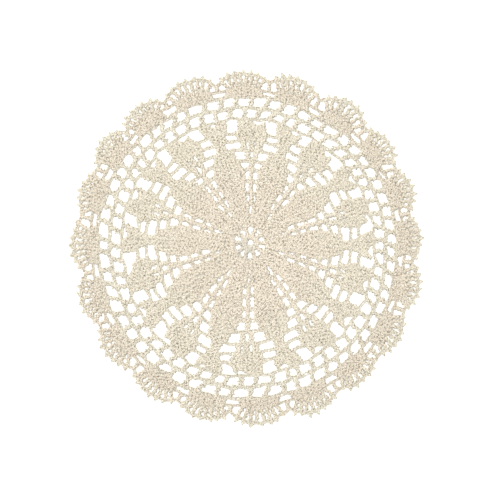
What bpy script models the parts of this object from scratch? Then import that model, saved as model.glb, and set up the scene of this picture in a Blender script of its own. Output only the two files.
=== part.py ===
"""A crocheted lace doily: one flat openwork mat of cream cotton thread.

It is worked in one piece from the centre out, so it is one solid: a thin sheet with a
scalloped edge and its larger gaps open. The stitches themselves are finer than this model.

Metres, +Z up. The origin is under the middle of the outline, on the surface the mat lies on.

The pattern is laid out on a chart. A step is one scallop's share of the way round, 20 steps to a
turn, and step 0 is the first gap between two petals. A radius on the chart is that of an evenly
worked mat, and place() gives the spot that it has in this one, which is pulled a little out of true.
"""

import math
from collections import namedtuple

import bmesh
import bpy

# Driving sizes.
THICKNESS = 0.0016  # a double crochet's crossed threads
STEPS = 20  # scallops round the edge, two to each petal
FIRST_RING = 0.0022  # radius of the hole that the work starts from
FIRST_RING_CORNERS = 8
PETAL_TIP = 0.0601  # middles of the holes either side of a petal's tip
NET_INNER = 0.0745  # middles of the holes in the two net rounds
NET_OUTER = 0.0808
SHELL_BASE = 0.0839  # where the edge shells fan out from the net

# The edge shells, each a fan of stitches with a pointed picot on every ray.
SHELL_LAG = 1 / 3  # steps from a petal gap back to the dip before it
PICOTS = 7
FAN_HALF_ANGLE = 60.0  # degrees from the shell's middle ray to its last
FAN_HALF_WIDTH = 0.50  # steps from the middle of the shell out to where its side would be upright
FAN_FULLNESS = 0.6  # 1 for an elliptic top, and less for squarer shoulders
DIP_SHARE = 0.86  # how far out the edge comes between two picots

# Hand work is uneven, so each petal and each shell has a row of its own. A turn is in degrees from
# +X, and a pull is the share of its radius by which the mat stands out, or in, beside that place.
# A petal's row gives the gap before it, and a shell's row the dip before it.
Petal = namedtuple("Petal", "gap pull")
PETALS = (
    Petal(gap=16.0, pull=-0.031),
    Petal(gap=53.0, pull=-0.050),
    Petal(gap=89.0, pull=-0.014),
    Petal(gap=125.0, pull=-0.004),
    Petal(gap=160.5, pull=0.001),
    Petal(gap=196.5, pull=0.000),
    Petal(gap=235.0, pull=0.055),
    Petal(gap=268.0, pull=0.065),
    Petal(gap=305.0, pull=0.018),
    Petal(gap=341.0, pull=-0.016),
)

# Low is the radius of the bottom of the dip, and reach the radius of the shell's middle picot.
Shell = namedtuple("Shell", "dip pull low reach")
SHELLS = (
    Shell(dip=10.5, pull=-0.034, low=0.0930, reach=0.1004),
    Shell(dip=27.5, pull=-0.040, low=0.0945, reach=0.1010),
    Shell(dip=44.5, pull=-0.042, low=0.0945, reach=0.1026),
    Shell(dip=64.0, pull=-0.058, low=0.0925, reach=0.1013),
    Shell(dip=83.0, pull=-0.034, low=0.0925, reach=0.0994),
    Shell(dip=102.0, pull=-0.025, low=0.0910, reach=0.0998),
    Shell(dip=121.5, pull=-0.006, low=0.0920, reach=0.0997),
    Shell(dip=138.5, pull=0.006, low=0.0920, reach=0.1009),
    Shell(dip=154.0, pull=0.007, low=0.0940, reach=0.0990),
    Shell(dip=171.5, pull=0.014, low=0.0940, reach=0.1000),
    Shell(dip=190.5, pull=0.006, low=0.0920, reach=0.1000),
    Shell(dip=208.5, pull=0.021, low=0.0935, reach=0.0996),
    Shell(dip=227.0, pull=0.034, low=0.0925, reach=0.0990),
    Shell(dip=245.5, pull=0.044, low=0.0925, reach=0.0988),
    Shell(dip=263.5, pull=0.038, low=0.0905, reach=0.0994),
    Shell(dip=283.0, pull=0.027, low=0.0920, reach=0.1001),
    Shell(dip=300.5, pull=0.024, low=0.0930, reach=0.0984),
    Shell(dip=318.5, pull=0.018, low=0.0930, reach=0.0993),
    Shell(dip=336.0, pull=-0.001, low=0.0940, reach=0.1000),
    Shell(dip=353.0, pull=-0.020, low=0.0925, reach=0.0988),
)

# One petal is worked looser at its outer end, and stands out there by up to its reach.
Bulge = namedtuple("Bulge", "turn spread radius depth reach")
LOOSE_PETAL = Bulge(turn=252.0, spread=14.0, radius=0.0570, depth=0.0125, reach=0.0026)

# Rings of like holes. Each hole is `deep` along the radius and `wide` across it, and the ring
# has one at each of `places`, which are steps, and again every `repeat` steps.
Ring = namedtuple("Ring", "radius deep wide corners repeat places")
RINGS = (
    # Either side of the gaps between the petals, opening towards the petals' tips.
    Ring(radius=0.0437, deep=0.0034, wide=0.0037, corners=6, repeat=2, places=(-0.28, 0.24)),
    Ring(radius=0.0496, deep=0.0034, wide=0.0048, corners=6, repeat=2, places=(-0.43, 0.38)),
    Ring(radius=0.0547, deep=0.0031, wide=0.0077, corners=6, repeat=2, places=(-0.60, 0.62)),
    Ring(radius=PETAL_TIP, deep=0.0035, wide=0.0060, corners=6, repeat=2, places=(-0.65, 0.59)),
    # The windows, the largest gaps of all, between the fans that stand on the petals.
    Ring(radius=0.0676, deep=0.0075, wide=0.0074, corners=12, repeat=1, places=(-0.51,)),
    # The two rounds of net.
    Ring(radius=NET_INNER, deep=0.0038, wide=0.0046, corners=5, repeat=1, places=(-1 / 3, 0.0, 1 / 3)),
    Ring(radius=NET_OUTER, deep=0.0040, wide=0.0050, corners=5, repeat=1, places=(-1 / 2, -1 / 6, 1 / 6)),
    # Under each dip of the edge, a slit and then a small gap on either side.
    Ring(radius=0.0862, deep=0.0020, wide=0.0048, corners=6, repeat=1, places=(-1 / 3,)),
    Ring(radius=0.0896, deep=0.0026, wide=0.0028, corners=5, repeat=1, places=(-0.468, -0.198)),
)

COTTON = (0.80, 0.72, 0.58, 1.0)
COTTON_ROUGHNESS = 0.85


def marked(marks, count, lap):
    """The value at a place counted along a closed row of marks, which gains a lap each time round."""
    whole, along = divmod(count, len(marks))
    mark = int(along)
    start = marks[mark]
    end = marks[(mark + 1) % len(marks)] + (lap if mark + 1 == len(marks) else 0.0)
    return lap * whole + start + (along - mark) * (end - start)


def eased(radius, inner, outer):
    """The inner rounds follow the petals and the outer ones the shells, with the windows between."""
    share = min(1.0, max(0.0, (radius - PETAL_TIP) / (NET_INNER - PETAL_TIP)))
    return inner + share * (outer - inner)


def turn_at(step, radius):
    """How far round from +X a spot lies, in radians."""
    inner = marked([petal.gap for petal in PETALS], step * len(PETALS) / STEPS, 360.0)
    outer = marked([shell.dip for shell in SHELLS], step + SHELL_LAG, 360.0)
    return math.radians(eased(radius, inner, outer))


def pulled(step, radius):
    """The radius that a spot has once the mat is pulled out of true."""
    inner = marked([petal.pull for petal in PETALS], step * len(PETALS) / STEPS, 0.0)
    outer = marked([shell.pull for shell in SHELLS], step + SHELL_LAG, 0.0)
    off = (math.degrees(turn_at(step, radius)) - LOOSE_PETAL.turn + 180.0) % 360.0 - 180.0
    sideways = (off / LOOSE_PETAL.spread) ** 2
    outwards = ((radius - LOOSE_PETAL.radius) / LOOSE_PETAL.depth) ** 2
    return radius * (1.0 + eased(radius, inner, outer)) + LOOSE_PETAL.reach * math.exp(-sideways - outwards)


def place(step, radius):
    """Where a spot of the chart lies on the mat, before the outline is centred."""
    turn = turn_at(step, radius)
    return (pulled(step, radius) * math.cos(turn), pulled(step, radius) * math.sin(turn))


def shell_edge(number):
    """The outline from the dip before a shell to its last picot."""
    start = number - SHELL_LAG
    middle = start + 0.5
    reach = SHELLS[number].reach - SHELL_BASE
    points = [place(start, SHELLS[number].low)]
    rays = 2 * PICOTS - 1
    for ray in range(rays):
        angle = math.radians(FAN_HALF_ANGLE * (2 * ray / (rays - 1) - 1))
        share = 1.0 if ray % 2 == 0 else DIP_SHARE
        step = middle + share * FAN_HALF_WIDTH * math.sin(angle)
        points.append(place(step, SHELL_BASE + share * reach * math.cos(angle) ** FAN_FULLNESS))
    return points


def outline():
    """The whole scalloped edge, round the mat once."""
    return [point for number in range(STEPS) for point in shell_edge(number)]


def hole(ring, step):
    """One hole of a ring, a rounded polygon with a corner pointing outwards."""
    per_metre = STEPS / (2 * math.pi * ring.radius)
    points = []
    for corner in range(ring.corners):
        angle = 2 * math.pi * corner / ring.corners
        radius = ring.radius + ring.deep / 2 * math.cos(angle)
        points.append(place(step + ring.wide / 2 * math.sin(angle) * per_metre, radius))
    return points


def holes():
    """Every hole of the mat, the first ring's at the centre included."""
    corners = [STEPS * corner / FIRST_RING_CORNERS for corner in range(FIRST_RING_CORNERS)]
    found = [[place(step, FIRST_RING) for step in corners]]
    for ring in RINGS:
        for start in range(0, STEPS, ring.repeat):
            found += [hole(ring, start + offset) for offset in ring.places]
    return found


def add_loop(bm, points, centre):
    """A closed loop of edges through the points, on the surface that the mat lies on."""
    verts = [bm.verts.new((x - centre[0], y - centre[1], 0.0)) for x, y in points]
    return [bm.edges.new((verts[i - 1], verts[i])) for i in range(len(verts))]


def doily_mesh():
    """The sheet between its outline and its holes, given its thickness upwards."""
    edge = outline()
    across = [x for x, _ in edge]
    along = [y for _, y in edge]
    centre = ((min(across) + max(across)) / 2, (min(along) + max(along)) / 2)
    bm = bmesh.new()
    edges = []
    for loop in [edge] + holes():
        edges += add_loop(bm, loop, centre)
    bmesh.ops.triangle_fill(bm, use_beauty=True, use_dissolve=False, edges=edges, normal=(0, 0, 1))
    raised = bmesh.ops.extrude_face_region(bm, geom=bm.faces[:], use_keep_orig=True)["geom"]
    top = [part for part in raised if isinstance(part, bmesh.types.BMVert)]
    bmesh.ops.translate(bm, vec=(0.0, 0.0, THICKNESS), verts=top)
    bmesh.ops.recalc_face_normals(bm, faces=bm.faces[:])
    mesh = bpy.data.meshes.new("doily")
    bm.to_mesh(mesh)
    bm.free()
    return mesh


def cotton():
    """Plain unbleached cotton."""
    material = bpy.data.materials.new("cotton")
    material.use_nodes = True
    shader = material.node_tree.nodes["Principled BSDF"]
    shader.inputs["Base Color"].default_value = COTTON
    shader.inputs["Roughness"].default_value = COTTON_ROUGHNESS
    shader.inputs["Metallic"].default_value = 0.0
    return material


for old in list(bpy.data.objects):
    bpy.data.objects.remove(old)
doily = bpy.data.objects.new("doily", doily_mesh())
doily.data.materials.append(cotton())
bpy.context.scene.collection.objects.link(doily)
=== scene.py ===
"""The looks of the lace doily: every stitch as twisted cotton thread, from the middle outwards."""

import math
from collections import namedtuple

import bpy
import numpy as np
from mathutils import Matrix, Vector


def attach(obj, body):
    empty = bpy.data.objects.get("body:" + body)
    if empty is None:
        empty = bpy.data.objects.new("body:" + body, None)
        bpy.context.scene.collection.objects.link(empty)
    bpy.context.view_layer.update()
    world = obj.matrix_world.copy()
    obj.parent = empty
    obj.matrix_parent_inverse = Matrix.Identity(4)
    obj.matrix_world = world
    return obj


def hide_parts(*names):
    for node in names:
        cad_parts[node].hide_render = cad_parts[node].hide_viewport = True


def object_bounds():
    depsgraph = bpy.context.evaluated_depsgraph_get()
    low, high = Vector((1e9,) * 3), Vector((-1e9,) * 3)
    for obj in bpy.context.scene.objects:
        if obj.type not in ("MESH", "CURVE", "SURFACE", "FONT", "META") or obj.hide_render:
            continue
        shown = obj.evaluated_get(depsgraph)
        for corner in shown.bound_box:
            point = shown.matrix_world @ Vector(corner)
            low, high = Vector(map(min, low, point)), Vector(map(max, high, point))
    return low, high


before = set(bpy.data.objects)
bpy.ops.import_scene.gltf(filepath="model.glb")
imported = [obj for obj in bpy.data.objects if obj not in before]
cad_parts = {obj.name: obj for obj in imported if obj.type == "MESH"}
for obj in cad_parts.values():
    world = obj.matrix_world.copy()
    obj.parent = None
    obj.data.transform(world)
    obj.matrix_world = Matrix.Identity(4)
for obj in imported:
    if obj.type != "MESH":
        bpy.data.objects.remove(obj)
cad_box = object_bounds()


# The middle: a ring of ten chain stitches, a tight round of twenty double crochets, ten lone ones
# with an eyelet between each two, and a full round of forty. It is cotton thread, hooked through
# itself stitch by stitch, and the rest of the mat is worked on from it in the same thread.

# The chart that the whole mat is laid out on, in metres. A step is one scallop's share of the way
# round, step 0 is the first gap between two petals, and a radius is that of an evenly worked mat.
STEPS = 20  # scallops round the edge
PER_PETAL = 2  # steps from one petal to the next
PER_SHELL = 1  # steps from one shell of the edge to the next
PETAL_TIP = 0.0601  # the mat is pulled as the petals' rows say up to here
NET_INNER = 0.0745  # and as the shells' rows say from here on
SHELL_BASE = 0.0839  # where the edge shells fan out from the net
SHELL_LAG = 1 / 3  # steps from a petal gap back to the dip before it
PICOTS = 7
FAN_HALF_ANGLE = 60.0  # degrees from a shell's middle ray to its last
FAN_HALF_WIDTH = 0.50  # steps from the middle of the shell out to where its side would be upright
FAN_FULLNESS = 0.6  # 1 for an elliptic top, and less for squarer shoulders

# How the hand-worked mat is pulled out of true. Turns are in degrees from +X, and a pull is the
# share of its radius by which the mat stands out, or in, beside that place. A petal's row gives
# the gap before it, and a shell's row the dip before it.
Petal = namedtuple("Petal", "gap pull")
PETALS = (
    Petal(gap=16.0, pull=-0.031),
    Petal(gap=53.0, pull=-0.050),
    Petal(gap=89.0, pull=-0.014),
    Petal(gap=125.0, pull=-0.004),
    Petal(gap=160.5, pull=0.001),
    Petal(gap=196.5, pull=0.000),
    Petal(gap=235.0, pull=0.055),
    Petal(gap=268.0, pull=0.065),
    Petal(gap=305.0, pull=0.018),
    Petal(gap=341.0, pull=-0.016),
)
# Low is the radius of the bottom of the dip, and reach the radius of the shell's middle picot.
Shell = namedtuple("Shell", "dip pull low reach")
SHELLS = (
    Shell(dip=10.5, pull=-0.034, low=0.0930, reach=0.1004),
    Shell(dip=27.5, pull=-0.040, low=0.0945, reach=0.1010),
    Shell(dip=44.5, pull=-0.042, low=0.0945, reach=0.1026),
    Shell(dip=64.0, pull=-0.058, low=0.0925, reach=0.1013),
    Shell(dip=83.0, pull=-0.034, low=0.0925, reach=0.0994),
    Shell(dip=102.0, pull=-0.025, low=0.0910, reach=0.0998),
    Shell(dip=121.5, pull=-0.006, low=0.0920, reach=0.0997),
    Shell(dip=138.5, pull=0.006, low=0.0920, reach=0.1009),
    Shell(dip=154.0, pull=0.007, low=0.0940, reach=0.0990),
    Shell(dip=171.5, pull=0.014, low=0.0940, reach=0.1000),
    Shell(dip=190.5, pull=0.006, low=0.0920, reach=0.1000),
    Shell(dip=208.5, pull=0.021, low=0.0935, reach=0.0996),
    Shell(dip=227.0, pull=0.034, low=0.0925, reach=0.0990),
    Shell(dip=245.5, pull=0.044, low=0.0925, reach=0.0988),
    Shell(dip=263.5, pull=0.038, low=0.0905, reach=0.0994),
    Shell(dip=283.0, pull=0.027, low=0.0920, reach=0.1001),
    Shell(dip=300.5, pull=0.024, low=0.0930, reach=0.0984),
    Shell(dip=318.5, pull=0.018, low=0.0930, reach=0.0993),
    Shell(dip=336.0, pull=-0.001, low=0.0940, reach=0.1000),
    Shell(dip=353.0, pull=-0.020, low=0.0925, reach=0.0988),
)
# One petal is worked looser at its outer end, and stands out there by up to its reach.
Bulge = namedtuple("Bulge", "turn spread radius depth reach")
LOOSE_PETAL = Bulge(turn=252.0, spread=14.0, radius=0.0570, depth=0.0125, reach=0.0026)


def marked(marks, count, lap):
    """Values at places counted along a closed row of marks, which gains a lap each time round."""
    whole, rest = np.divmod(count, len(marks))
    return lap * whole + np.interp(rest, np.arange(len(marks) + 1), [*marks, marks[0] + lap])


def pulled(step, radius):
    """Where spots of the chart lie once the mat is pulled out of true, from the first ring."""
    step, radius = np.broadcast_arrays(np.asarray(step, float), np.asarray(radius, float))
    share = np.clip((radius - PETAL_TIP) / (NET_INNER - PETAL_TIP), 0.0, 1.0)
    petals = step * len(PETALS) / STEPS
    shells = step + SHELL_LAG
    turn = (1 - share) * marked([petal.gap for petal in PETALS], petals, 360.0)
    turn = turn + share * marked([shell.dip for shell in SHELLS], shells, 360.0)
    pull = (1 - share) * marked([petal.pull for petal in PETALS], petals, 0.0)
    pull = pull + share * marked([shell.pull for shell in SHELLS], shells, 0.0)
    sideways = ((turn - LOOSE_PETAL.turn + 180.0) % 360.0 - 180.0) / LOOSE_PETAL.spread
    outwards = (radius - LOOSE_PETAL.radius) / LOOSE_PETAL.depth
    out = radius * (1 + pull) + LOOSE_PETAL.reach * np.exp(-(sideways**2) - outwards**2)
    turn = np.radians(turn)
    return np.stack([out * np.cos(turn), out * np.sin(turn)], axis=-1)


def on_shell(number, angle, share):
    """Chart step and radius of a spot on an edge shell, on its ray at an angle from the middle."""
    angle = np.radians(angle)
    reach = np.array([shell.reach for shell in SHELLS])[number] - SHELL_BASE
    step = number - SHELL_LAG + 0.5 + share * FAN_HALF_WIDTH * np.sin(angle)
    return step, SHELL_BASE + share * reach * np.cos(angle) ** FAN_FULLNESS


# The CAD's box runs to its picots' tips, so those show where in it the first ring lies.
PICOT_ANGLES = np.linspace(-FAN_HALF_ANGLE, FAN_HALF_ANGLE, PICOTS)
shell_numbers = np.arange(STEPS)[:, None]
tips = pulled(*on_shell(shell_numbers, PICOT_ANGLES[None, :], 1.0)).reshape(-1, 2)
cad_middle = np.array([(cad_box[0][axis] + cad_box[1][axis]) / 2 for axis in range(2)])
ring_middle = cad_middle - (tips.min(axis=0) + tips.max(axis=0)) / 2

# Neighbouring rows wander together, in slow waves across the mat with finer ones over them. The
# waves of each axis are in radians to a metre, and their starts in radians.
SWAY = 0.00022  # how far
FINE_SHARE = 0.6  # how much of that the finer waves add
Waves = namedtuple("Waves", "own own_start other other_start fine slant")
X_WAVES = Waves(own=310, own_start=1.3, other=270, other_start=0.4, fine=590, slant=170)
Y_WAVES = Waves(own=290, own_start=2.1, other=330, other_start=0.9, fine=610, slant=-150)


def sway(own, other, waves):
    """How spots wander along one axis, from where they lie on it and on the other one."""
    slow = np.sin(own * waves.own + waves.own_start)
    slow = slow * np.sin(other * waves.other + waves.other_start)
    return slow + FINE_SHARE * np.sin(other * waves.fine + own * waves.slant)


def place(step, radius):
    """Where spots of the chart lie on the table."""
    spots = pulled(step, radius) + ring_middle
    x, y = spots[..., 0], spots[..., 1]
    return spots + SWAY * np.stack([sway(x, y, X_WAVES), sway(y, x, Y_WAVES)], axis=-1)


# The stitches. Each stroke of thread is a closed loop, laid from one end of its stitch to the other
# and back. How far a stitch may be off, here and below, is a spread: one in three goes beyond it.
THREAD = 0.00036  # radius of the thread
LOW = 0.00042  # how high the lowest thread's middle lies
LEAST_LENGTH = 1e-6  # stands in for a stroke of no length
WIDTH_LOOSE = 0.10  # how unevenly wide loops are, as a share of their width
LOOP_POINTS = 8
rng = np.random.default_rng(16)


def lay(starts, ends, share, across, height):
    """The centre points of closed strokes, each laid from its own start towards its own end."""
    way = ends - starts
    length = np.maximum(np.linalg.norm(way, axis=1, keepdims=True), LEAST_LENGTH)
    side = np.stack([-way[:, 1], way[:, 0]], axis=1) / length
    flat = starts[:, None] + way[:, None] * share[..., None] + side[:, None] * across[..., None]
    height = np.broadcast_to(height, flat.shape[:2])
    return np.concatenate([flat, height[..., None]], axis=2)


def once_round(points):
    """The angles of a stroke's points round it."""
    return np.linspace(0.0, 2 * math.pi, points, endpoint=False)[None]


def out_and_back(around):
    """From 0 at a loop's start to 1 at its far end, and back."""
    return 0.5 - 0.5 * np.cos(around)


def belly(around, slack):
    """How far to the side a loop lies, from about -1 to 1. The more slack, the rounder it is."""
    return np.sin(around) / np.sqrt(np.sin(around) ** 2 + slack)


LINK_START = -0.20  # from here, as a share of a chain stitch's length,
LINK_LONG = 1.44  # its link is this long
LINK_SLACK = 0.20
LINK_HIGH = 0.00020  # how far its start lies above the lowest thread
LINK_RISE = 0.00016  # and its far end above its start
LINK_ASIDE = 0.00010  # how far a link may lie aside
LINK_TILT = 0.00010  # and how far it may tilt


def links(starts, ends, wide, sink=0.0):
    """Chain stitches: each a long loop drawn out through the one before it."""
    count = len(starts)
    around = once_round(LOOP_POINTS)
    along = out_and_back(around)
    across = wide * rng.normal(1.0, WIDTH_LOOSE, (count, 1)) * belly(around, LINK_SLACK)
    across = across + rng.normal(0, LINK_ASIDE, (count, 1))
    height = LOW + LINK_HIGH - sink + LINK_RISE * along
    height = height + rng.normal(0, LINK_TILT, (count, 1)) * np.sin(around)
    return [lay(starts, ends, LINK_START + LINK_LONG * along, across, np.maximum(height, LOW))]


# A post's lowest stroke, which runs up one side of it and down the other.
POST_POINTS = 6
SIDE_REACH = 0.56  # from the post's middle to its ends, as a share of the post's length
SIDE_WIDE = 1.4  # to either side, as a share of the room there is
SIDE_LOOSE = 0.00008
FLARE_FROM = 0.4  # the share of its flare that narrows a post's middle, while the rest widens its ends
# The stroke wound across it.
WOUND_BETWEEN = (0.30, 0.70)  # where it crosses, as a share of the post's length
WOUND_SLANT = 0.08  # how unevenly it slants
WOUND_OPEN = 0.04  # half the gap between its two strands
WOUND_WIDE = 1.15  # to either side, as a share of the room there is
WOUND_HIGH = 0.00070  # how far its middle lies above the lowest thread
WOUND_DROP = 0.00030  # and its ends below its middle
# The loops drawn up one through the next, whose places and lengths are in shares of a loop.
LOOPS = 6
LOOP_BACK = 0.34  # how far back a loop starts into the one before it
LOOP_SHIFT = 0.2  # how far all the loops of a post may be shifted
LOOP_LOOSE = 0.06  # and each of them
LOOP_LONG = 1.55
LOOP_LONG_LOOSE = 0.16
LOOP_SLACK = 0.25
LOOP_LEAN = 0.00100  # how far a loop's ends lie to the two sides, by turns
LOOP_LEAN_LOOSE = 0.00028
LOOP_ASIDE = 0.00022  # how far a loop may lie aside
LOOP_HIGH = 0.00046  # how far its middle lies above the lowest thread
LOOP_DIVE = 0.00014  # how far its far end dives below that, and its start stands above it
LOOP_ROLL = 0.00014  # how far a loop may roll over


def flared(share, flare):
    """How wide a post is at a share of its length."""
    return 1 + flare * ((2 * share - 1) ** 2 - FLARE_FROM)


def posts(starts, ends, wide_start, wide_end, flare, loops):
    """Double crochet: loops drawn up one through the next over a strand, and wound about once."""
    count = len(starts)
    around = once_round(POST_POINTS)
    share = np.broadcast_to(0.5 - SIDE_REACH * np.cos(around), (count, POST_POINTS))
    side = np.sign(np.round(np.sin(around), 6))  # rounded, so that it is 0 at both ends
    across = SIDE_WIDE * (wide_start + (wide_end - wide_start) * share) * side
    across = across * flared(share, flare)
    across = across + rng.normal(0, SIDE_LOOSE, (count, POST_POINTS))
    made = [lay(starts, ends, share, across, LOW)]
    share = rng.uniform(*WOUND_BETWEEN, (count, 1))
    share = share + rng.normal(0, WOUND_SLANT, (count, 1)) * np.cos(around)
    share = share + WOUND_OPEN * np.sin(around)
    across = WOUND_WIDE * (wide_start + wide_end) / 2 * np.cos(around)
    height = LOW + WOUND_HIGH - WOUND_DROP * np.cos(around) ** 2
    made.append(lay(starts, ends, share, across, height))
    around = once_round(LOOP_POINTS)
    along = out_and_back(around)
    ends_apart = 2 * along - 1
    shift = rng.uniform(-LOOP_SHIFT, LOOP_SHIFT, (count, 1))
    hand = rng.choice([-1.0, 1.0], (count, 1))
    for loop in range(loops):
        begin = (loop - LOOP_BACK + shift + rng.normal(0, LOOP_LOOSE, (count, 1))) / loops
        length = rng.normal(LOOP_LONG, LOOP_LONG_LOOSE, (count, 1)) / loops
        wide = wide_start + (wide_end - wide_start) * (loop + 0.5) / loops
        wide = wide * flared((loop + 0.5) / loops, flare)
        hand = -hand
        lean = hand * rng.normal(LOOP_LEAN, LOOP_LEAN_LOOSE, (count, 1))
        across = wide * rng.normal(1.0, WIDTH_LOOSE, (count, 1)) * belly(around, LOOP_SLACK)
        across = across + lean * ends_apart
        across = across + rng.normal(0, LOOP_ASIDE, (count, 1))
        roll = rng.normal(0, LOOP_ROLL, (count, 1))
        height = LOW + LOOP_HIGH + roll * np.sin(around) - LOOP_DIVE * ends_apart
        made.append(lay(starts, ends, begin + length * along, across, np.maximum(height, LOW)))
    return made


UNEVEN = 0.00022  # how far a stitch may stand from its place
BOW_LOOSE = 0.00030  # how unevenly a length of chain bows
CHAIN_WIDE = 0.00084  # half the width of a chain's links
CLOSE = 0.00042  # half the width of the links between posts that stand close
SUNK = 0.00010  # how far those links are pulled down
FULL = 0.00064  # how far a post's strands spread to either side, at the most
LEAST_ROOM = 0.00028  # and at the least
ROOM_SHARE = 0.30  # between the two, their share of the way to the nearer neighbour
LONE = 0.0026  # a post with no neighbour as near as this is a lone one
LONE_ROOM = 0.00056  # how far its strands spread


def half_room(spots, fullest):
    """How far posts' strands spread to either side. The nearer neighbour sets it."""
    gaps = np.linalg.norm(np.roll(spots, -1, axis=0) - spots, axis=1)
    nearest = np.minimum(gaps, np.roll(gaps, 1))
    room = np.where(nearest > LONE, LONE_ROOM, np.clip(nearest * ROOM_SHARE, LEAST_ROOM, FULL))
    return np.minimum(room, fullest)[:, None]


def arc(here, there, parts, bow):
    """Spots along a length of chain that bows outwards between its two ends."""
    middle = (here + there) / 2 - ring_middle
    out = middle / np.linalg.norm(middle)
    share = np.linspace(0.0, 1.0, parts + 1)[:, None]
    path = here + (there - here) * share + out * bow * np.sin(math.pi * share)
    if parts > 1:
        path[1:-1] += rng.normal(0, UNEVEN, (parts - 1, 2))
    return path


def round_runs(
    bases, tops, chains, bows=None, fullest=(FULL, FULL), flare=0.0, wide=CHAIN_WIDE, loops=LOOPS
):
    """The runs of a closed round: its posts, then the line along its top.

    A post's entry in chains is the chain to the next post's top. None leaves the two unjoined.
    """
    count = len(tops)
    top_spots = place(tops[:, 0], tops[:, 1]) + rng.normal(0, UNEVEN, (count, 2))
    base_spots = place(bases[:, 0], bases[:, 1]) + rng.normal(0, UNEVEN / 2, (count, 2))
    base_room = half_room(base_spots, fullest[0])
    top_room = half_room(top_spots, fullest[1])
    runs = posts(base_spots, top_spots, base_room, top_room, flare, loops)
    for chained in (False, True):
        starts, ends = [], []
        for i in range(count):
            if chains[i] is None or (chains[i] > 0) != chained:
                continue
            here, there = top_spots[i], top_spots[(i + 1) % count]
            bow = bows[i] if bows else 0.0
            bow = bow + (rng.normal(0, BOW_LOOSE) if chained else 0.0)
            path = arc(here, there, chains[i] + 1, bow)
            starts.append(path[:-1])
            ends.append(path[1:])
        if starts:
            starts, ends = np.concatenate(starts), np.concatenate(ends)
            runs += links(starts, ends, wide) if chained else links(starts, ends, CLOSE, SUNK)
    return runs


# A group is a fan or row of posts in a round: its middle step, how many posts it has, how far
# their tops and their bases reach from the middle in steps, the chain to the next group, and how
# far that chain bows outwards.
Group = namedtuple("Group", "middle posts tops bases chains bow", defaults=(0.0,))
# A round is its top's radius and its groups. Lean is how many steps the tops stand back from the
# bases, and loose is how unevenly the groups stand, in steps. The rest is what round_runs takes.
Round = namedtuple(
    "Round",
    "top groups wide fullest flare loops lean loose",
    defaults=(CHAIN_WIDE, (FULL, FULL), 0.0, LOOPS, 0.0, 0.0),
)


def work(base, repeat, rounds):
    """The runs of rounds worked each on the one before. Groups come again every so many steps."""
    runs = []
    for each in rounds:
        top_steps, base_steps, chains, bows = [], [], [], []
        both_leans = each.lean * np.array([-0.5, 0.5])
        for start in range(0, STEPS, repeat):
            for group in each.groups:
                spread = np.linspace(-1.0, 1.0, group.posts) if group.posts > 1 else np.zeros(1)
                middles = start + group.middle + both_leans + rng.normal(0, each.loose, 2)
                top_steps += list(middles[0] + group.tops * spread)
                base_steps += list(middles[1] + group.bases * spread)
                chains += [0] * (group.posts - 1) + [group.chains]
                bows += [0.0] * (group.posts - 1) + [group.bow]
        tops = np.stack([top_steps, np.full(len(top_steps), each.top)], axis=1)
        out = base(base_steps) if callable(base) else np.full(len(base_steps), base)
        bases = np.stack([base_steps, out], axis=1)
        how = (each.fullest, each.flare, each.wide, each.loops)
        runs += round_runs(bases, tops, chains, bows, *how)
        base = each.top
    return runs


SIDES = 4  # flat sides of a thread, shaded smooth


def sweep(lines):
    """The surface of closed strokes: points, and faces of four corners each with their own UV."""
    copies, count = lines.shape[:2]
    tangent = np.roll(lines, -1, axis=1) - np.roll(lines, 1, axis=1)
    tangent /= np.linalg.norm(tangent, axis=2, keepdims=True)
    side = np.cross(tangent, [0.0, 0.0, 1.0])
    side /= np.linalg.norm(side, axis=2, keepdims=True)
    other = np.cross(side, tangent)
    angle = 2 * math.pi * np.arange(SIDES) / SIDES
    sideways = np.cos(angle)[:, None] * side[:, :, None]
    upwards = np.sin(angle)[:, None] * other[:, :, None]
    points = lines[:, :, None] + THREAD * (sideways + upwards)
    ring = np.arange(count)[:, None]
    corner = np.arange(SIDES)[None]
    here, after, beside = ring * SIDES, (ring + 1) % count * SIDES, (corner + 1) % SIDES
    faces = np.stack([here + corner, here + beside, after + beside, after + corner], axis=2)
    hop = np.linalg.norm(np.roll(lines, -1, axis=1) - lines, axis=2)
    gone = np.concatenate([np.zeros((copies, 1)), np.cumsum(hop, axis=1)], axis=1)
    gone += rng.uniform(0, 1, (copies, 1))  # strokes start anywhere on the first metre of thread
    u0 = np.broadcast_to(corner / SIDES, (count, SIDES))
    u1 = u0 + 1 / SIDES
    u = np.stack([u0, u1, u1, u0], axis=2).reshape(-1, 4)
    v = np.stack([gone[:, :-1], gone[:, :-1], gone[:, 1:], gone[:, 1:]], axis=2)
    v = np.repeat(v[:, :, None], SIDES, axis=2).reshape(copies, -1, 4)
    uv = np.stack([np.broadcast_to(u, v.shape), v], axis=3)
    offset = np.arange(copies)[:, None, None] * count * SIDES
    faces = faces.reshape(-1, 4)[None] + offset
    return points.reshape(-1, 3), faces.reshape(-1, 4), uv.reshape(-1, 2)


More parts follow.
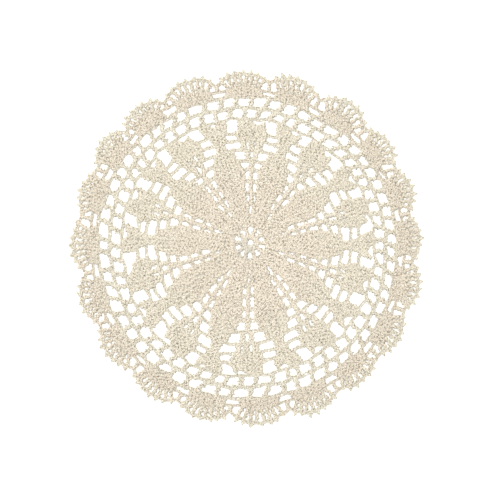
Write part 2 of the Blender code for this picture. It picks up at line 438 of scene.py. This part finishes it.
def thread_piece(name, runs):
    """One piece of the mat, all its runs of thread in one mesh."""
    points, faces, uvs, total = [], [], [], 0
    for run in runs:
        new_points, new_faces, new_uv = sweep(run)
        points.append(new_points)
        faces.append(new_faces + total)
        uvs.append(new_uv)
        total += len(new_points)
    points, faces, uvs = np.concatenate(points), np.concatenate(faces), np.concatenate(uvs)
    corners = faces.shape[1]
    mesh = bpy.data.meshes.new(name)
    mesh.vertices.add(len(points))
    mesh.vertices.foreach_set("co", points.astype(np.float32).ravel())
    mesh.loops.add(faces.size)
    mesh.loops.foreach_set("vertex_index", faces.astype(np.int32).ravel())
    mesh.polygons.add(len(faces))
    mesh.polygons.foreach_set("loop_start", np.arange(0, faces.size, corners, dtype=np.int32))
    mesh.update(calc_edges=True)
    mesh.shade_smooth()
    layer = mesh.uv_layers.new(name="thread")
    layer.data.foreach_set("uv", uvs.astype(np.float32).ravel())
    piece = bpy.data.objects.new(name, mesh)
    bpy.context.scene.collection.objects.link(piece)
    piece.data.materials.append(cotton)
    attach(piece, "root")
    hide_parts("doily")
    return piece


# The cotton: plies wound into a thread, with fine fibres on them. Painted shade darkens the grooves
# between the plies, and the thread's tone changes in random patches along it.
PLIES = 3
LAY = 0.0024  # length of thread to one turn of its plies
FIBRES = 24.0  # fibres once round the thread
FIBRE_BREAKS = 900.0  # how often they change in a metre of it
FIBRE_DETAIL = 2.0
FIBRE_RISE = 0.35  # how far they stand out, as a share of a ply's own rise
PATCHES = 1300.0  # how often the thread's random tone changes, in a metre of thread
PATCH_DETAIL = 1.0
PATCH_SPAN = 2.9  # how strongly it changes
PATCH_START = -0.43  # and its value where the noise is nought
PLY_FLATNESS = 0.7  # under 1, the pale top of a ply is broad and the painted shade line beside it thin


def group_math(tree, operation, *values):
    """A Math node on sockets or numbers, and its output."""
    node = tree.nodes.new("ShaderNodeMath")
    node.operation = operation
    for socket, value in zip(node.inputs, values):
        if isinstance(value, bpy.types.NodeSocket):
            tree.links.new(value, socket)
        else:
            socket.default_value = value
    return node.outputs["Value"]


def plied_thread():
    """Node group: plies wound round a thread. Its UV goes once round it, and in metres along it."""
    tree = bpy.data.node_groups.new("plied thread", "ShaderNodeTree")
    tree.interface.new_socket("Plies", in_out="INPUT", socket_type="NodeSocketFloat")
    tree.interface.new_socket("Lay", in_out="INPUT", socket_type="NodeSocketFloat")
    tree.interface.new_socket("Rise", in_out="OUTPUT", socket_type="NodeSocketFloat")
    tree.interface.new_socket("Shade", in_out="OUTPUT", socket_type="NodeSocketFloat")
    given = tree.nodes.new("NodeGroupInput")
    uv = tree.nodes.new("ShaderNodeUVMap")
    uv.uv_map = "thread"
    split = tree.nodes.new("ShaderNodeSeparateXYZ")
    tree.links.new(uv.outputs["UV"], split.inputs["Vector"])
    turns = group_math(tree, "DIVIDE", split.outputs["Y"], given.outputs["Lay"])
    wound = group_math(tree, "ADD", split.outputs["X"], turns)
    across = group_math(tree, "FRACT", group_math(tree, "MULTIPLY", wound, given.outputs["Plies"]))
    rise = group_math(tree, "SINE", group_math(tree, "MULTIPLY", across, math.pi))
    fibre = tree.nodes.new("ShaderNodeTexNoise")
    fibre.noise_dimensions = "2D"
    fibre.inputs["Scale"].default_value = 1.0
    fibre.inputs["Detail"].default_value = FIBRE_DETAIL
    stretch = tree.nodes.new("ShaderNodeCombineXYZ")
    tree.links.new(group_math(tree, "MULTIPLY", wound, FIBRES), stretch.inputs["X"])
    breaks = group_math(tree, "MULTIPLY", split.outputs["Y"], FIBRE_BREAKS)
    tree.links.new(breaks, stretch.inputs["Y"])
    tree.links.new(stretch.outputs["Vector"], fibre.inputs["Vector"])
    fine = group_math(tree, "MULTIPLY", fibre.outputs["Fac"], FIBRE_RISE)
    made = tree.nodes.new("NodeGroupOutput")
    tree.links.new(group_math(tree, "ADD", rise, fine), made.inputs["Rise"])
    slow = tree.nodes.new("ShaderNodeTexNoise")
    slow.noise_dimensions = "1D"
    slow.inputs["Scale"].default_value = PATCHES
    slow.inputs["Detail"].default_value = PATCH_DETAIL
    tree.links.new(split.outputs["Y"], slow.inputs["W"])
    patches = group_math(tree, "MULTIPLY_ADD", slow.outputs["Fac"], PATCH_SPAN, PATCH_START)
    # Shade: painted shade in the grooves between the plies, times random patches of tone.
    shade = group_math(tree, "MULTIPLY", group_math(tree, "POWER", rise, PLY_FLATNESS), patches)
    tree.links.new(shade, made.inputs["Shade"])
    return tree


DARK = (0.350, 0.290, 0.208, 1.0)  # painted shade between the plies, and the darkest random patches
PALE = (0.824, 0.771, 0.662, 1.0)  # on top of them
cotton = bpy.data.materials.new("cotton")
cotton.use_nodes = True
nodes, wires = cotton.node_tree.nodes, cotton.node_tree.links
shader = nodes["Principled BSDF"]
shader.inputs["Roughness"].default_value = 0.75
shader.inputs["Specular IOR Level"].default_value = 0.2
thread = nodes.new("ShaderNodeGroup")
thread.node_tree = plied_thread()
thread.inputs["Plies"].default_value = PLIES
thread.inputs["Lay"].default_value = LAY
# The tint runs from the painted shade between the plies to the pale ply tops, and it is varied by
# random patches.
tint = nodes.new("ShaderNodeValToRGB")
tint.color_ramp.elements[0].position = 0.25
tint.color_ramp.elements[0].color = DARK
tint.color_ramp.elements[1].position = 0.95
tint.color_ramp.elements[1].color = PALE
wires.new(thread.outputs["Shade"], tint.inputs["Fac"])

# The cotton's tint is multiplied by a colour that changes with the distance from the middle. It is
# darker and bluer at the very middle, a little less red over the net, and darker over the shells,
# where it is painted shade standing in for the deeper shade among their close stitches. Each row is a
# radius in metres and what the tint is multiplied by there.
SHADE_AND_TINT_RINGS = (
    (0.0000, (0.890, 0.910, 0.935)),
    (0.0045, (0.910, 0.925, 0.945)),
    (0.0070, (1.000, 0.992, 0.990)),
    (0.0350, (1.000, 0.993, 0.991)),
    (0.0520, (0.985, 1.000, 0.996)),
    (0.0660, (0.976, 0.988, 0.983)),
    (0.0780, (0.970, 0.995, 0.990)),
    # painted shade over the shells
    (0.0870, (0.935, 0.926, 0.920)),
    (0.0930, (0.972, 0.966, 0.950)),
    (0.1000, (0.945, 0.982, 0.975)),
)
coordinates = nodes.new("ShaderNodeTexCoord")
distance = nodes.new("ShaderNodeVectorMath")
distance.operation = "LENGTH"
wires.new(coordinates.outputs["Object"], distance.inputs[0])
way_out = nodes.new("ShaderNodeMath")
way_out.operation = "DIVIDE"
way_out.inputs[1].default_value = SHADE_AND_TINT_RINGS[-1][0]
wires.new(distance.outputs["Value"], way_out.inputs[0])
shade_and_tint = nodes.new("ShaderNodeValToRGB")
shade_and_tint.color_ramp.elements[0].color = (*SHADE_AND_TINT_RINGS[0][1], 1.0)
shade_and_tint.color_ramp.elements[1].color = (*SHADE_AND_TINT_RINGS[-1][1], 1.0)
for ring_radius, colour in SHADE_AND_TINT_RINGS[1:-1]:
    shade_and_tint.color_ramp.elements.new(ring_radius / SHADE_AND_TINT_RINGS[-1][0]).color = (*colour, 1.0)
wires.new(way_out.outputs["Value"], shade_and_tint.inputs["Fac"])
shaded_and_tinted = nodes.new("ShaderNodeVectorMath")
shaded_and_tinted.operation = "MULTIPLY"
wires.new(tint.outputs["Color"], shaded_and_tinted.inputs[0])
wires.new(shade_and_tint.outputs["Color"], shaded_and_tinted.inputs[1])
wires.new(shaded_and_tinted.outputs["Vector"], shader.inputs["Base Color"])
bump = nodes.new("ShaderNodeBump")
bump.inputs["Strength"].default_value = 1.0
bump.inputs["Distance"].default_value = 0.00008
wires.new(thread.outputs["Rise"], bump.inputs["Height"])
wires.new(bump.outputs["Normal"], shader.inputs["Normal"])

RING = 0.0024  # radius of the ring of chain
RING_WIDE = 0.00040  # half the width of its links
MIDDLE_TOP = 0.0156
MIDDLE_ROUNDS = (
    Round(
        top=0.0045,
        groups=(
            Group(middle=0.5, posts=1, tops=0, bases=0, chains=0),
            Group(middle=1.5, posts=1, tops=0, bases=0, chains=0),
        ),
        fullest=(0.00022, 0.00026),
    ),
    Round(
        top=0.0097,
        groups=(Group(middle=1.0, posts=1, tops=0, bases=0, chains=2),),
        fullest=(0.00042, 0.00042),
        wide=0.00088,
    ),
    Round(
        top=MIDDLE_TOP,
        groups=(Group(middle=1.0, posts=4, tops=0.75, bases=0.75, chains=0),),
    ),
)
ring_steps = np.arange(0, STEPS, PER_PETAL) + 1.0
ring_spots = place(ring_steps, np.full(len(ring_steps), RING))
middle_runs = links(ring_spots, np.roll(ring_spots, -1, axis=0), RING_WIDE)
middle_runs += work(RING, PER_PETAL, MIDDLE_ROUNDS)
middle = thread_piece("middle", middle_runs)

# The petals: ten wedges of double crochet, each a stitch wider on every round. From their second
# round on, a lone post with chain on either side keeps each two apart. It is all the same thread,
# hooked into the round below.
PETALS_TOP = 0.0408
PETAL_ROUNDS = (
    Round(
        top=0.0219,
        groups=(Group(middle=1.0, posts=5, tops=0.69, bases=0.72, chains=2),),
        wide=0.00094,
    ),
    Round(
        top=0.0281,
        groups=(
            Group(middle=0.0, posts=1, tops=0, bases=0, chains=1),
            Group(middle=1.0, posts=6, tops=0.49, bases=0.55, chains=1),
        ),
        wide=0.00096,
    ),
    Round(
        top=0.0344,
        groups=(
            Group(middle=0.0, posts=1, tops=0, bases=0, chains=2),
            Group(middle=1.0, posts=7, tops=0.585, bases=0.55, chains=2),
        ),
        wide=0.00098,
    ),
    Round(
        top=PETALS_TOP,
        groups=(
            Group(middle=0.0, posts=1, tops=0, bases=0, chains=2),
            Group(middle=1.0, posts=8, tops=0.63, bases=0.605, chains=2),
        ),
        wide=0.00100,
    ),
)
petals = thread_piece("petals", work(MIDDLE_TOP, PER_PETAL, PETAL_ROUNDS))

# The petals' outer ends: three rounds in which the petals lose stitches again. Pairs of posts and
# longer chains, in the same thread, fill the widening gaps between them.
PETAL_ENDS_TOP = 0.0578
PETAL_END_ROUNDS = (
    Round(
        top=0.0467,
        groups=(
            Group(middle=0.0, posts=2, tops=0.035, bases=0.035, chains=3),
            Group(middle=1.0, posts=8, tops=0.46, bases=0.56, chains=3),
        ),
    ),
    Round(
        top=0.0523,
        groups=(
            Group(middle=-0.15, posts=2, tops=0.03, bases=0.03, chains=1),
            Group(middle=0.15, posts=2, tops=0.03, bases=0.03, chains=4),
            Group(middle=1.0, posts=6, tops=0.28, bases=0.37, chains=4),
        ),
        wide=0.00074,
    ),
    Round(
        top=PETAL_ENDS_TOP,
        groups=(
            Group(middle=-0.27, posts=2, tops=0.05, bases=0.04, chains=1),
            Group(middle=0.0, posts=2, tops=0.040, bases=0.035, chains=1),
            Group(middle=0.27, posts=2, tops=0.05, bases=0.04, chains=6),
            Group(middle=1.0, posts=3, tops=0.08, bases=0.12, chains=6),
        ),
        wide=0.00074,
        flare=0.5,
    ),
)
petal_ends = thread_piece("petal_ends", work(PETALS_TOP, PER_PETAL, PETAL_END_ROUNDS))

# The fans: one in each gap and one on each petal's tip, first a row of double crochet, then a
# cluster of eight, with a slit where some of their tops stop short. The net's first line of chain,
# in the same thread, runs along the clusters' tops and closes the round.
FAN_ROW = Round(
    top=0.0633,
    groups=(
        Group(middle=0.0, posts=9, tops=0.43, bases=0.37, chains=4, bow=-0.0010),
        Group(middle=1.0, posts=4, tops=0.19, bases=0.12, chains=4, bow=-0.0010),
    ),
    wide=0.00074,
    flare=0.3,
)
CLUSTER_POSTS = 8
CLUSTER_FEET = (0.34, 0.26)  # steps from a cluster's middle to its last foot, in a gap or on a tip
CLUSTER_TOPS = 0.31  # steps from its middle to its last top
CLUSTER_TOP = 0.0698  # how far out the tops lie
CLUSTER_FULLEST = (0.00056, 0.00056)
SLIT_BACK = 0.14  # steps from a cluster's middle back to its slit
SLIT_BACK_LOOSE = 0.05
SLIT_WIDE = 0.14  # in steps
SLIT_DEEP = 0.0034
SLIT_DEEP_LOOSE = 0.0006
SLIT_LEAST = 0.0010
LINE_RADIUS = 0.0706  # how far out the line of chain runs over a cluster,
LINE_BOW = 0.0010  # how much further it runs over a window,
LINE_BOW_WIDE = 0.12  # and over how many steps
LINE_LINK = 0.1  # steps to each of its links
LINE_WIDE = 0.00064  # half the width of its links
fan_runs = work(PETAL_ENDS_TOP, PER_PETAL, (FAN_ROW,))
bases, tops, chains = [], [], []
for cluster in range(STEPS):
    slit = SLIT_BACK + rng.normal(0, SLIT_BACK_LOOSE)
    drop = max(SLIT_LEAST, rng.normal(SLIT_DEEP, SLIT_DEEP_LOOSE))
    for share in np.linspace(-1.0, 1.0, CLUSTER_POSTS):
        bases.append((cluster + CLUSTER_FEET[cluster % PER_PETAL] * share, FAN_ROW.top))
        low = drop * math.exp(-(((CLUSTER_TOPS * share + slit) / SLIT_WIDE) ** 2))
        tops.append((cluster + CLUSTER_TOPS * share, CLUSTER_TOP - low))
    chains += [0] * (CLUSTER_POSTS - 1) + [None]
fan_runs += round_runs(np.array(bases), np.array(tops), chains, fullest=CLUSTER_FULLEST)


def net_base(step):
    """How far out the net's inmost line of chain runs."""
    from_window = (np.mod(step, 1.0) - 0.5) / LINE_BOW_WIDE
    return LINE_RADIUS + LINE_BOW * np.exp(-(from_window**2))


line_steps = np.arange(0, STEPS, LINE_LINK)
line = place(line_steps, net_base(line_steps)) + rng.normal(0, UNEVEN, (len(line_steps), 2))
fan_runs += links(line, np.roll(line, -1, axis=0), LINE_WIDE)
fans = thread_piece("fans", fan_runs)

# The net: two rounds of chain in the same thread, three stitches to a hole, on pairs of double
# crochet that stand on the chain below, the second round's over the middles of the first one's
# holes. The pairs' feet and tops spread, which rounds the holes' corners.
NET_HOLES = 3  # in each round, to a step
HALF_HOLE = 0.5 / NET_HOLES
FIRST_NET_ROUND = Round(
    top=0.0775,
    groups=tuple(
        Group(middle=hole / NET_HOLES + HALF_HOLE, posts=2, tops=0.019, bases=0.019, chains=3)
        for hole in range(NET_HOLES)
    ),
    flare=2.3,
    loops=5,
    lean=0.07,
    loose=0.025,
)
SECOND_NET_ROUND = FIRST_NET_ROUND._replace(
    top=SHELL_BASE,
    groups=tuple(
        Group(middle=hole / NET_HOLES, posts=2, tops=0.017, bases=0.017, chains=3)
        for hole in range(NET_HOLES)
    ),
)
net_runs = work(net_base, PER_SHELL, (FIRST_NET_ROUND, SECOND_NET_ROUND))
net = thread_piece("net", net_runs)

# The shells: twenty fans of eleven double crochets, worked into the net's last chain and joined
# by chain under each dip of the edge. They are still the same thread.
SHELL_POSTS = 11
SHELL_FEET = 0.36  # steps from a shell's middle to its last foot
SHELL_TOPS = 0.30  # and to its last top
SHELL_SIDE = 0.0862  # the tops stand on part of an arch that would spring from here,
SHELL_ARCH = 0.0033  # and whose middle lies this much further out
DIP_CHAIN = 4  # chain stitches from one shell's last top to the next one's first
SHELL_CHAIN_WIDE = 0.00058


def shell_arch(share):
    """How far out a shell's row of tops runs, at a share of the way from its middle to its end."""
    return SHELL_SIDE + SHELL_ARCH * math.cos(math.radians(FAN_HALF_ANGLE * share))


bases, tops, chains = [], [], []
for number in range(STEPS):
    middle_step = number - SHELL_LAG + 0.5
    for share in np.linspace(-1.0, 1.0, SHELL_POSTS):
        bases.append((middle_step + SHELL_FEET * share, SHELL_BASE))
        tops.append((middle_step + SHELL_TOPS * share, shell_arch(share)))
    chains += [0] * (SHELL_POSTS - 1) + [DIP_CHAIN]
shell_runs = round_runs(np.array(bases), np.array(tops), chains, wide=SHELL_CHAIN_WIDE)
shells = thread_piece("shells", shell_runs)

# The shells' outer ends: rays of double crochet with one chain stitch between each two, and a
# single post up into every dip. They go on in the same thread from the shells' tops.
RAYS = 8
RAY_FEET = 0.27  # steps from a shell's middle to its last ray's foot
RAY_ANGLE = 58.0  # degrees from its middle to its last ray's top
RAY_ANGLE_LOOSE = 1.5
RAY_LONG = 0.84  # how far out the middle rays' tops lie, as a share of the shell's reach
RAY_CORNER = 0.08  # how much further the last ones' do
RAY_FULLEST = (0.00050, 0.00034)
RAY_CHAIN_WIDE = 0.00070
DIP_FOOT = 0.0879  # where a dip's post starts
DIP_SHORT = 0.0003  # how far short of the dip it ends
bases, tops, chains = [], [], []
for number in range(STEPS):
    dip = number - SHELL_LAG
    bases.append((dip, DIP_FOOT))
    tops.append((dip, SHELLS[number].low - DIP_SHORT))
    for share in np.linspace(-1.0, 1.0, RAYS):
        angle = (RAY_ANGLE + rng.normal(0, RAY_ANGLE_LOOSE)) * share
        bases.append((dip + 0.5 + RAY_FEET * share, shell_arch(share)))
        tops.append(on_shell(number, angle, RAY_LONG + RAY_CORNER * share**4))
    chains += [1] * (RAYS + 1)
end_runs = round_runs(
    np.array(bases), np.array(tops), chains, fullest=RAY_FULLEST, wide=RAY_CHAIN_WIDE
)
shell_ends = thread_piece("shell_ends", end_runs)

# The picots: seven little points to a shell, each two chain stitches that lean together and meet
# at its tip. They are the last of the thread.
PICOT_SPAN = 0.92  # the share of the shell's fan that the picots stand on
PICOT_FOOT = 4.5  # degrees round the shell from a picot's middle to either leg
PICOT_ASIDE = 1.6  # how many degrees its tip may stand aside
PICOT_RIM = 0.86  # how far out its feet stand, as a share of the shell's reach
PICOT_CORNER = 0.08  # how much further they do at the ends of the shell
PICOT_LONG = 0.098  # how much further out its tip stands than its feet
PICOT_LONG_LOOSE = 0.018  # and how unevenly
PICOT_WIDE = 0.00034  # half the width of its links
starts, ends = [], []
for number in range(STEPS):
    for angle in PICOT_ANGLES * PICOT_SPAN:
        aside = angle + rng.normal(0, PICOT_ASIDE)
        rim = PICOT_RIM + PICOT_CORNER * (angle / FAN_HALF_ANGLE) ** 4
        tip = place(*on_shell(number, aside, rim + rng.normal(PICOT_LONG, PICOT_LONG_LOOSE)))
        for foot in (-PICOT_FOOT, PICOT_FOOT):
            starts.append(place(*on_shell(number, angle + foot, rim)))
            ends.append(tip)
picots = thread_piece("picots", links(np.array(starts), np.array(ends), PICOT_WIDE))

# A plain pale table top, which gives off just enough light of its own to thin out the shadows
# in the holes.
bpy.ops.object.select_all(action="DESELECT")
bpy.ops.mesh.primitive_plane_add(size=4.0, location=(0, 0, 0))
table_top = bpy.context.object
table_top.name = "table_top"
white = bpy.data.materials.new("white")
white.use_nodes = True
shader = white.node_tree.nodes["Principled BSDF"]
shader.inputs["Base Color"].default_value = (0.94, 0.945, 0.915, 1.0)
shader.inputs["Roughness"].default_value = 0.8
shader.inputs["Emission Color"].default_value = (1.0, 1.0, 1.0, 1.0)
shader.inputs["Emission Strength"].default_value = 0.08
table_top.data.materials.append(white)

# Soft studio light: white all round, and a broad lamp high up beyond the mat's upper left edge.
world = bpy.data.worlds.new("studio")
world.use_nodes = True
background = world.node_tree.nodes["Background"]
background.inputs["Color"].default_value = (1.0, 1.0, 1.0, 1.0)
background.inputs["Strength"].default_value = 1.00
bpy.context.scene.world = world
bpy.ops.object.light_add(type="AREA", location=(-0.495, 0.5625, 1.3))
lamp = bpy.context.object
lamp.data.size = 1.2
lamp.data.energy = 22
lamp.rotation_euler = (math.radians(-22.0), math.radians(-20.8), 0)
bpy.context.scene.view_settings.view_transform = "Standard"

# The camera looks straight down on the mat.
camera_data = bpy.data.cameras.new("camera")
camera_data.lens = 100
camera = bpy.data.objects.new("camera", camera_data)
bpy.context.scene.collection.objects.link(camera)
camera.location = (0.0025, -0.0011, 0.7717)
bpy.context.scene.camera = camera
